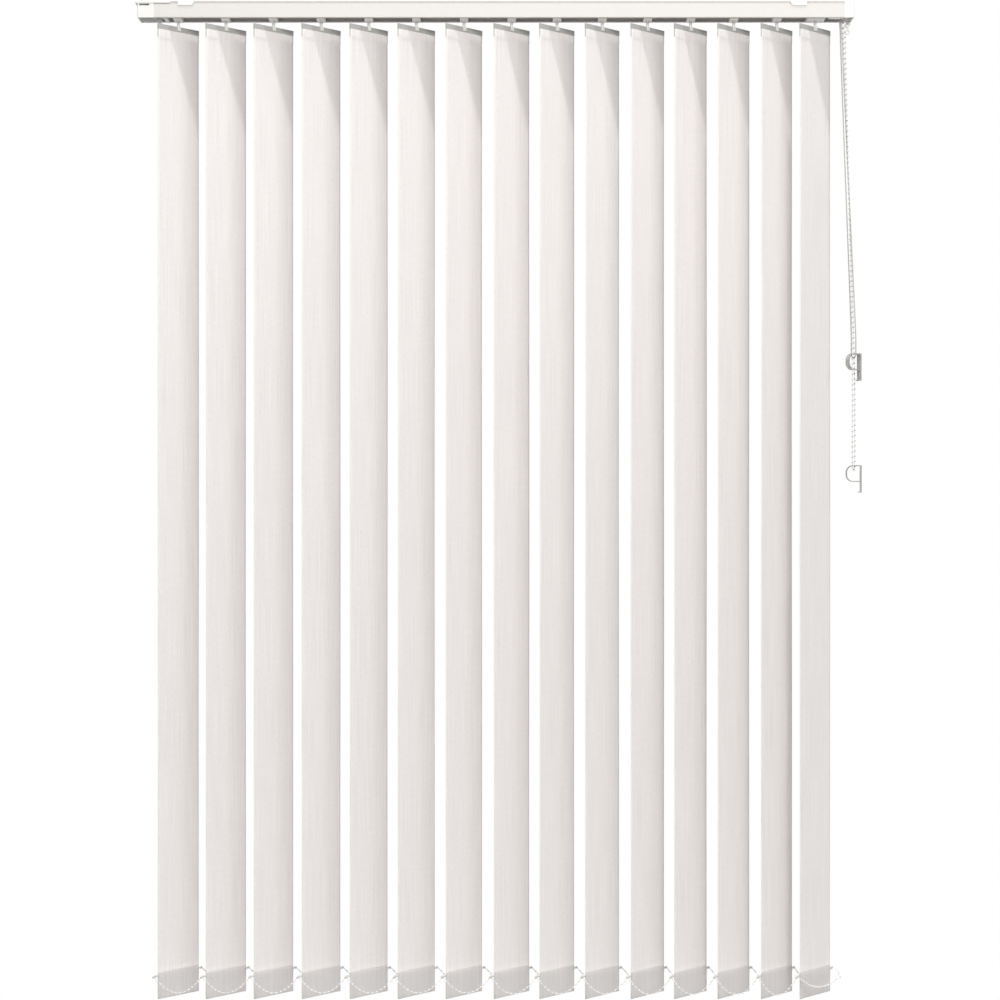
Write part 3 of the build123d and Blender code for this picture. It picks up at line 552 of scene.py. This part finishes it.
def vane_surface(settings, phase):
    """A vane as one closed skin. The section is a flat loop: out and back across the width, half the
    thickness to each side, and nothing at both edges. Down the vane the half thickness steps from the
    top pocket to one layer and out again to the hem, and the middle strays by a slow sine."""
    half_layer = settings.cloth / 2
    pocket_end = FABRIC_TOP - POCKET_HEIGHT
    height = np.concatenate(
        [
            [FABRIC_TOP, FABRIC_TOP - 0.0004],
            np.linspace(FABRIC_TOP - 0.002, pocket_end + 0.001, 5),
            pocket_end - np.array([0.0, 0.0006, 0.0014, 0.0025]),
            np.linspace(pocket_end - 0.01, HEM_TOP + 0.012, 60),
            HEM_TOP + np.array([0.004, 0.0022, 0.0012, 0.0004]),
            HEM_TOP - np.array([0.0003, 0.0008, 0.0016, 0.003]),
            np.linspace(HEM_TOP - 0.006, FABRIC_BOTTOM + 0.004, 9),
            FABRIC_BOTTOM + np.array([0.002, 0.001, 0.0004, 0.0]),
        ]
    )
    knots = [
        (FABRIC_BOTTOM, 0.0001),
        (FABRIC_BOTTOM + 0.0004, 0.0007),
        (FABRIC_BOTTOM + 0.001, 0.00105),
        (FABRIC_BOTTOM + 0.002, 0.00125),
        (FABRIC_BOTTOM + 0.006, settings.hem / 2),
        (HEM_TOP - 0.006, settings.hem / 2),
        (HEM_TOP - 0.0016, 0.0009),
        (HEM_TOP - 0.0008, 0.00062),
        (HEM_TOP - 0.0003, 0.0005),
        (HEM_TOP + 0.0004, 0.00075),
        (HEM_TOP + 0.0022, 0.00065),
        (HEM_TOP + 0.004, half_layer),
        (pocket_end - 0.0025, half_layer),
        (pocket_end - 0.0006, 0.0006),
        (pocket_end + 0.002, 0.00105),
        (FABRIC_TOP - 0.0004, 0.0011),
        (FABRIC_TOP, 0.0009),
    ]
    half = np.interp(height, *np.array(knots).T)
    across = np.linspace(-1.0, 1.0, FACE_POINTS)
    loop = np.concatenate([across, across[::-1]])
    face = np.repeat([-1.0, 1.0], FACE_POINTS)
    rim = np.minimum(1.0, (1.0 - np.abs(loop)) * settings.width / 2 / RIM_WIDTH + RIM_SHARE)
    down = (height - FABRIC_TOP) / (FABRIC_BOTTOM - FABRIC_TOP)
    free = np.sin(np.pi * np.clip(down, 0, 1)) ** 2
    stray = settings.ripple * free[:, None] * np.sin(1.3 * loop[None] + 5 * down[:, None] + phase)
    offset = stray + face[None] * rim[None] * half[:, None]
    place = loop[None] * settings.width / 2 + 0 * height[:, None]
    points = (
        place[..., None] * ALONG + offset[..., None] * ACROSS + height[:, None, None] * UP
    ).reshape(-1, 3)
    uv = np.stack([place + (face[None] > 0) * 0.2, height[:, None] + 0 * place], axis=-1).reshape(-1, 2)
    rows, columns = len(height), len(loop)
    faces = ring_faces(rows, columns)
    near = np.arange(FACE_POINTS - 1)
    far = columns - 1 - near
    top = np.stack([near, far, far - 1, near + 1], axis=-1)
    bottom = (rows - 1) * columns + np.stack([near, near + 1, far - 1, far], axis=-1)
    return points, np.concatenate([faces, top, bottom])[:, ::-1], uv


def weight_surface():
    """A hem weight as one skin along its length: a flat plate that narrows to a round peg and swells to
    a knob at both ends, the longer one on the near edge. Each section is an ellipse between a low and
    a high line."""
    low, high, peg = FABRIC_BOTTOM + 0.0025, HEM_TOP - 0.0022, CLIP_HEIGHT
    far = [
        (0.0, low, high, 0.0009),
        (0.0365, low, high, 0.0009),
        (0.0385, low + 0.0015, high - 0.0004, 0.0009),
        (0.0398, low + 0.0050, high - 0.0009, 0.0009),
        (0.0403, low + 0.0130, high - 0.0013, 0.0009),
        (0.0406, peg - 0.0040, peg + 0.0012, 0.0010),
        (0.0418, peg - 0.0013, peg + 0.0012, 0.0010),
        (0.0470, peg - 0.0011, peg + 0.0011, 0.0010),
        (0.0482, peg - 0.0012, peg + 0.0012, 0.0011),
        (0.0490, peg - 0.0019, peg + 0.0019, 0.0016),
        (0.0503, peg - 0.0022, peg + 0.0022, 0.0019),
        (0.0516, peg - 0.0018, peg + 0.0018, 0.0016),
        (0.0524, peg - 0.0009, peg + 0.0009, 0.0008),
        (0.0525, peg - 0.0001, peg + 0.0001, 0.0001),
    ]
    near = far[:9] + [
        (0.0495, peg - 0.0020, peg + 0.0016, 0.0015),
        (0.0515, peg - 0.0028, peg + 0.0018, 0.0020),
        (0.0535, peg - 0.0032, peg + 0.0015, 0.0021),
        (0.0552, peg - 0.0029, peg + 0.0007, 0.0017),
        (0.0561, peg - 0.0022, peg - 0.0003, 0.0009),
        (0.0562, peg - 0.0013, peg - 0.0011, 0.0001),
    ]
    every = np.concatenate([np.array(near)[:0:-1] * [-1, 1, 1, 1], np.array(far)])
    x, bottom, top, thick = every.T
    angle = np.linspace(0, 2 * np.pi, 16, endpoint=False)
    flat = np.where(np.abs(x) < 0.0405, 0.35, 1.0)[:, None]
    wide, tall = np.cos(angle), np.sin(angle)
    section_y = np.sign(wide) * np.abs(wide) ** flat * thick[:, None]
    section_z = np.sign(tall) * np.abs(tall) ** flat * (top - bottom)[:, None] / 2
    points = x[:, None, None] * ALONG + section_y[..., None] * ACROSS
    points = points + ((top + bottom)[:, None] / 2 + section_z)[..., None] * UP
    return points.reshape(-1, 3), ring_faces(len(every), 16)


class BLIND_OT_vanes(bpy.types.Operator):
    """Makes the fabric of every vane, and the weight with its two clips in every hem"""

    bl_idname = "blind.vanes"
    bl_label = "Vanes"

    def execute(self, context):
        settings = context.scene.blind_vanes
        cloth = fabric_material(settings)
        plastic = Material("weight_plastic", (0.62, 0.6, 0.57), 0.4, Specular_IOR_Level=0.45)
        plastic.tint(plastic.noise("Object", (300, 300, 300)), (0.55, 0.53, 0.5), (0.66, 0.64, 0.61))
        plastic.bump(plastic.noise("Object", (4000, 4000, 4000)), 0.00002, 0.3)
        for number, pivot in enumerate(PIVOTS, start=1):
            place = np.array([pivot, 0, 0])
            points, faces, uv = vane_surface(settings, phase=1.7 * number)
            vane = link(f"vane_fabric_{number:02d}", points + place, faces, uv + [number * 0.37, 0])
            vane.data.materials.append(cloth)
            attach(vane, f"vane_{number:02d}")
            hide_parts(f"vane_{number:02d}")
            points, faces = weight_surface()
            weight = link(f"vane_weight_{number:02d}", points + place, faces)
            weight.data.materials.append(plastic.material)
            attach(weight, f"vane_{number:02d}")
        return {"FINISHED"}


def bay_path(first, last, length=BAY_LENGTH, fall=1.0):
    """A hanging bay from clip to clip, as a function of one parameter: straight between the two clips,
    less a drop of four times the parameter times what is left of it, to a power that is 1 where the
    chain leaves its clip steeply. The drop is what a shallow arc of that length has."""
    share = np.linspace(0, 1, 70)
    hang = (4 * share * (1 - share)) ** fall
    span = np.linalg.norm(last - first)
    drop = span * np.sqrt(3 / 8 * (length / span - 1))
    return first + share[:, None] * (last - first) - drop * hang[:, None] * UP


def chain_pieces(name, path, settings, body):
    """The thread and the beads of one stretch of bottom chain, joined into one mesh."""
    heading = path[-1] - path[0]
    side = np.cross(heading / np.linalg.norm(heading), UP)
    points, faces, _ = tube(path, settings.thread / 2, side, 6)
    length = along_path(path, [0.0])[1]
    count = int((length - BEADLESS) / settings.bead_pitch)
    start = (length - (count - 1) * settings.bead_pitch) / 2
    centres, _ = along_path(path, start + settings.bead_pitch * np.arange(count))
    beads, bead_faces = copies(*ball(7, 10), centres, settings.bead / 2)
    links, link_faces = [], []
    for ends in ((0.0, CONNECTOR), (length, length - CONNECTOR)):
        short, _ = along_path(path, np.linspace(*ends, 12))
        swell = 0.0008 + 0.0006 * np.array([0.6, 0.5, 0.3, 0.1, 0, 0, 0, 0.1, 0.5, 1, 1, 0.5])
        link_points, faces_of, _ = tube(short, swell, side, 8)
        links.append(link_points)
        link_faces.append(faces_of)
    stacks = [(points, faces), (beads, bead_faces), *zip(links, link_faces)]
    shift = np.cumsum([0] + [len(stack[0]) for stack in stacks[:-1]])
    every = np.concatenate([stack[0] for stack in stacks])
    all_faces = np.concatenate([stack[1] + move for stack, move in zip(stacks, shift)])
    piece = link(name, every, all_faces)
    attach(piece, body)
    return piece


class BLIND_OT_bottom_chains(bpy.types.Operator):
    """Hangs the two bottom chains from clip to clip along the near and the far edges of the vanes"""

    bl_idname = "blind.bottom_chains"
    bl_label = "Bottom chains"

    def execute(self, context):
        settings = context.scene.blind_chains
        beads = Material("bead_plastic", settings.colour, 0.25, Specular_IOR_Level=0.5)
        beads.tint(beads.noise("Object", (500, 500, 500)), shade(settings.colour, 0.92), settings.colour)
        beads.rough(beads.noise("Object", (900, 900, 900)), 0.2, 0.34)
        for row, side in (("front", -1), ("back", 1)):
            reach = CLIP_REACH if side == 1 else KNOB_REACH
            clips = PIVOTS[:, None] * [1, 0, 0] + side * reach * ALONG + CLIP_HEIGHT * UP
            for bay, (first, last) in enumerate(zip(clips, clips[1:]), start=1):
                piece = chain_pieces(
                    f"chain_{row}_bay_{bay:02d}",
                    bay_path(first, last, fall=1.0 if side == -1 else BACK_FALL),
                    settings,
                    f"chain_row_{row}",
                )
                piece.data.materials.append(beads.material)
                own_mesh(piece)
            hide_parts(f"bottom_chain_{row}")
        bob = clips[-1] + [0.0130, -0.0030, -0.0135]
        start = clips[-1] - (CLIP_REACH + KNOB_REACH) * ALONG - 0.003 * ACROSS
        tail = chain_pieces("chain_tail", bay_path(start, bob, TAIL_LENGTH), settings, "vane_15")
        bend = np.linspace(0, np.pi / 2, 12)
        arc = np.stack([np.sin(bend), -0.2 * np.sin(bend), np.cos(bend) - 1], axis=-1)
        stub = bob + [[0, 0, -0.001], [0, 0, -0.002], [0, 0, -0.0035]]
        rod = np.concatenate([clips[-1] + TAIL_BEND * arc, stub])
        swell = np.concatenate([np.full(11, 0.0009), [0.0013, 0.0021, 0.0022, 0.0014]])
        end = capped_tube("chain_tail_end", rod, swell, ACROSS, 10)
        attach(end, "vane_15")
        for piece in (tail, end):
            piece.data.materials.append(beads.material)
        return {"FINISHED"}


CORD_ROUTE = np.array(
    [
        (0.580, -0.0075, -0.0185),
        (0.580, -0.0075, -0.048),
        (0.6049, -0.0056, -0.556),
        (0.60496, -0.00557, -0.579),
        (0.60496, -0.00557, -0.5976),
        (0.59904, 0.00557, -0.5976),
        (0.59904, 0.00557, -0.579),
        (0.5991, 0.0056, -0.556),
        (0.580, 0.0075, -0.048),
        (0.580, 0.0075, -0.0185),
    ]
)

CHAIN_ROUTE = np.array(
    [
        (0.5855, -0.01108, -0.017),
        (0.5855, -0.01108, -0.062),
        (0.5990, -0.0092, -0.572),
        (0.5990, -0.00658, -0.761),
        (0.5990, -0.00658, -0.7864),
        (0.6050, 0.00658, -0.7864),
        (0.6050, 0.00658, -0.761),
        (0.6050, 0.0092, -0.572),
        (0.5855, 0.01108, -0.062),
        (0.5855, 0.01108, -0.017),
    ]
)


class BLIND_OT_traverse_cord(bpy.types.Operator):
    """Runs the traverse cord along the rail and hangs its loop at the control end"""

    bl_idname = "blind.traverse_cord"
    bl_label = "Traverse cord"

    def execute(self, context):
        settings = context.scene.blind_cord
        braid = Material("cord_braid", settings.colour, 0.75, Sheen_Weight=0.2)
        strands = braid.wave("UV", (900, 2, 1), "DIAGONAL")
        braid.tint(strands, shade(settings.colour, 0.82), shade(settings.colour, 1.05))
        braid.bump(strands, 0.0002, 0.6)
        path = evenly(route(CORD_ROUTE), 0.0025)
        loop = capped_tube("cord_loop", path, settings.diameter / 2, X_AXIS, 8)
        loop.data.materials.append(braid.material)
        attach(loop, "rail")
        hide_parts("traverse_cord")
        lead = PIVOTS[-1]
        bend = np.linspace(0, np.pi, 24)
        turn_x = RETURN_PULLEY_X - CORD_SPREAD * np.sin(bend)
        turn = np.stack([turn_x, CORD_SPREAD * np.cos(bend), 0 * bend], axis=-1)
        over = np.linspace(0, np.pi / 2, 10)
        drop_x = CORD_PULLEY_X + CORD_PULLEY_TRACK * np.sin(over)
        drop = np.stack([drop_x, 0 * over, CORD_PULLEY_TRACK * (np.cos(over) - 1)], axis=-1)
        back = drop[::-1] + [0, CORD_SPREAD, 0]
        front = drop - [0, CORD_SPREAD, 0]
        runs = (
            ("cord_rail_front", np.concatenate([[[lead + 0.001, -CORD_SPREAD, 0]], front])),
            ("cord_rail_back", np.concatenate([back, turn, [[lead - 0.001, -CORD_SPREAD, 0]]])),
        )
        for name, line in runs:
            path = evenly(line + [0, 0, RAIL_CORD_HEIGHT], 0.0015)
            run = capped_tube(name, path, settings.diameter / 2, UP + 0.01, 6)
            run.data.materials.append(braid.material)
            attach(run, "rail")
        return {"FINISHED"}


class BLIND_OT_tilt_chain(bpy.types.Operator):
    """Hangs the endless bead chain over its wheel and round its tensioner"""

    bl_idname = "blind.tilt_chain"
    bl_label = "Tilt chain"

    def execute(self, context):
        settings = context.scene.blind_chains
        plastic = Material("tilt_bead_plastic", settings.colour, 0.25, Specular_IOR_Level=0.5)
        plastic.tint(
            plastic.noise("Object", (600, 600, 600)),
            shade(settings.colour, 0.6),
            shade(settings.colour, 0.74),
        )
        plastic.rough(plastic.noise("Object", (900, 900, 900)), 0.2, 0.34)
        path = evenly(route(CHAIN_ROUTE), 0.003)
        thread = capped_tube("tilt_chain_thread", path, settings.thread / 2, X_AXIS, 6)
        thread.data.materials.append(plastic.material)
        length = along_path(path, [0.0])[1]
        centres, _ = along_path(path, np.arange(0.0, length, settings.tilt_pitch))
        over = np.linspace(-np.pi / 2, np.pi / 2, 6)[1:-1]
        wheel = CHAIN_ROUTE[0, 1] * np.stack([0 * over, np.sin(over), -np.cos(over)], axis=-1)
        wheel = wheel + [CHAIN_ROUTE[0, 0], 0, CHAIN_ROUTE[0, 2]]
        points, faces = copies(*ball(8, 10), np.concatenate([centres, wheel]), settings.tilt_bead / 2)
        beads = link("tilt_chain_beads", points, faces)
        beads.data.materials.append(plastic.material)
        for piece in (thread, beads):
            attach(piece, "rail")
        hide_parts("tilt_chain")
        return {"FINISHED"}


class BLIND_OT_camera(bpy.types.Operator):
    """Stands the camera where the photograph was taken from"""

    bl_idname = "blind.camera"
    bl_label = "Camera"

    def execute(self, context):
        lens = bpy.data.cameras.new("camera")
        lens.lens = LENS
        lens.sensor_width = SENSOR
        lens.clip_end = 60.0
        camera = bpy.data.objects.new("camera", lens)
        camera.location = CAMERA_PLACE
        camera.rotation_euler = (np.pi / 2, 0, 0)
        context.scene.collection.objects.link(camera)
        context.scene.camera = camera
        context.scene.view_settings.view_transform = "Standard"
        return {"FINISHED"}


class BLIND_OT_stage(bpy.types.Operator):
    """Lays the pale floor and sets up the soft studio light"""

    bl_idname = "blind.stage"
    bl_label = "Stage"

    def execute(self, context):
        angle = np.linspace(0, 2 * np.pi, FLOOR_SIDES, endpoint=False)
        ring = np.stack([np.cos(angle), np.sin(angle), 0 * angle], axis=-1)
        points = (FLOOR_RADII[:, None, None] * ring).reshape(-1, 3) + [0, 0, FLOOR_HEIGHT]
        floor = link("floor", points, ring_faces(len(FLOOR_RADII), FLOOR_SIDES)[:, ::-1])
        pale = Material("floor_paper", (0.88, 0.88, 0.88), 0.9, Specular_IOR_Level=0.1)
        pale.tint(pale.noise("Object", (2, 2, 2)), (0.87, 0.87, 0.87), (0.89, 0.89, 0.89))
        floor.data.materials.append(pale.material)
        world = bpy.data.worlds.new("studio")
        world.use_nodes = True
        nodes, links = world.node_tree.nodes, world.node_tree.links
        where = nodes.new("ShaderNodeTexCoord")
        height = nodes.new("ShaderNodeSeparateXYZ")
        dome = nodes.new("ShaderNodeMapRange")
        for socket, value in zip(("From Min", "From Max", "To Min", "To Max"), DOME):
            dome.inputs[socket].default_value = value
        seen = nodes.new("ShaderNodeLightPath")
        either = nodes.new("ShaderNodeMix")
        either.inputs["B"].default_value = 1.0
        background = nodes["Background"]
        background.inputs["Color"].default_value = (1, 1, 1, 1)
        links.new(where.outputs["Generated"], height.inputs["Vector"])
        links.new(height.outputs["Z"], dome.inputs["Value"])
        links.new(seen.outputs["Is Camera Ray"], either.inputs["Factor"])
        links.new(dome.outputs["Result"], either.inputs["A"])
        links.new(either.outputs["Result"], background.inputs["Strength"])
        context.scene.world = world
        sun = bpy.data.lights.new("key", "SUN")
        sun.energy, sun.angle = KEY_ENERGY, np.radians(KEY_ANGLE)
        strip = bpy.data.lights.new("fill", "AREA")
        strip.shape, strip.energy = "RECTANGLE", FILL_ENERGY
        strip.size, strip.size_y = FILL_SIZE
        lamps = (
            (sun, (0.3, -1.0, 3.0), (-0.07, 0.28, -0.95)),
            (strip, (0.5, -1.75, 0.65), (0.0, 1.75, -1.1)),
        )
        for data, place, aim in lamps:
            lamp = bpy.data.objects.new(data.name, data)
            lamp.location = place
            lamp.rotation_euler = Vector(aim).to_track_quat("-Z", "Y").to_euler()
            context.scene.collection.objects.link(lamp)
        return {"FINISHED"}


class BLIND_PT_panel(bpy.types.Panel):
    """The blind's steps in the order that they are run"""

    bl_label = "Vertical blind"
    bl_idname = "BLIND_PT_panel"
    bl_space_type = "VIEW_3D"
    bl_region_type = "UI"
    bl_category = "Blind"

    def draw(self, context):
        for group in SETTINGS:
            box = self.layout.box()
            for name in SETTINGS[group].__annotations__:
                box.prop(getattr(context.scene, group), name)
        for step in STEPS:
            self.layout.operator(step.bl_idname)


SETTINGS = {
    "blind_vanes": VaneSettings,
    "blind_chains": ChainSettings,
    "blind_cord": CordSettings,
    "blind_finishes": FinishSettings,
}
STEPS = (
    BLIND_OT_camera,
    BLIND_OT_traverse_cord,
    BLIND_OT_tilt_chain,
    BLIND_OT_finishes,
    BLIND_OT_vanes,
    BLIND_OT_bottom_chains,
    BLIND_OT_stage,
)
CLASSES = (*SETTINGS.values(), *STEPS, BLIND_PT_panel)


def register():
    for item in CLASSES:
        bpy.utils.register_class(item)
    for name, group in SETTINGS.items():
        setattr(bpy.types.Scene, name, bpy.props.PointerProperty(type=group))


def unregister():
    for name in SETTINGS:
        delattr(bpy.types.Scene, name)
    for item in reversed(CLASSES):
        bpy.utils.unregister_class(item)


def main():
    """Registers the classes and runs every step."""
    register()
    bpy.ops.blind.camera()
    bpy.ops.blind.traverse_cord()
    bpy.ops.blind.tilt_chain()
    bpy.ops.blind.finishes()
    bpy.ops.blind.vanes()
    bpy.ops.blind.bottom_chains()
    bpy.ops.blind.stage()
    bpy.context.view_layer.update()


if __name__ == "__main__":
    main()
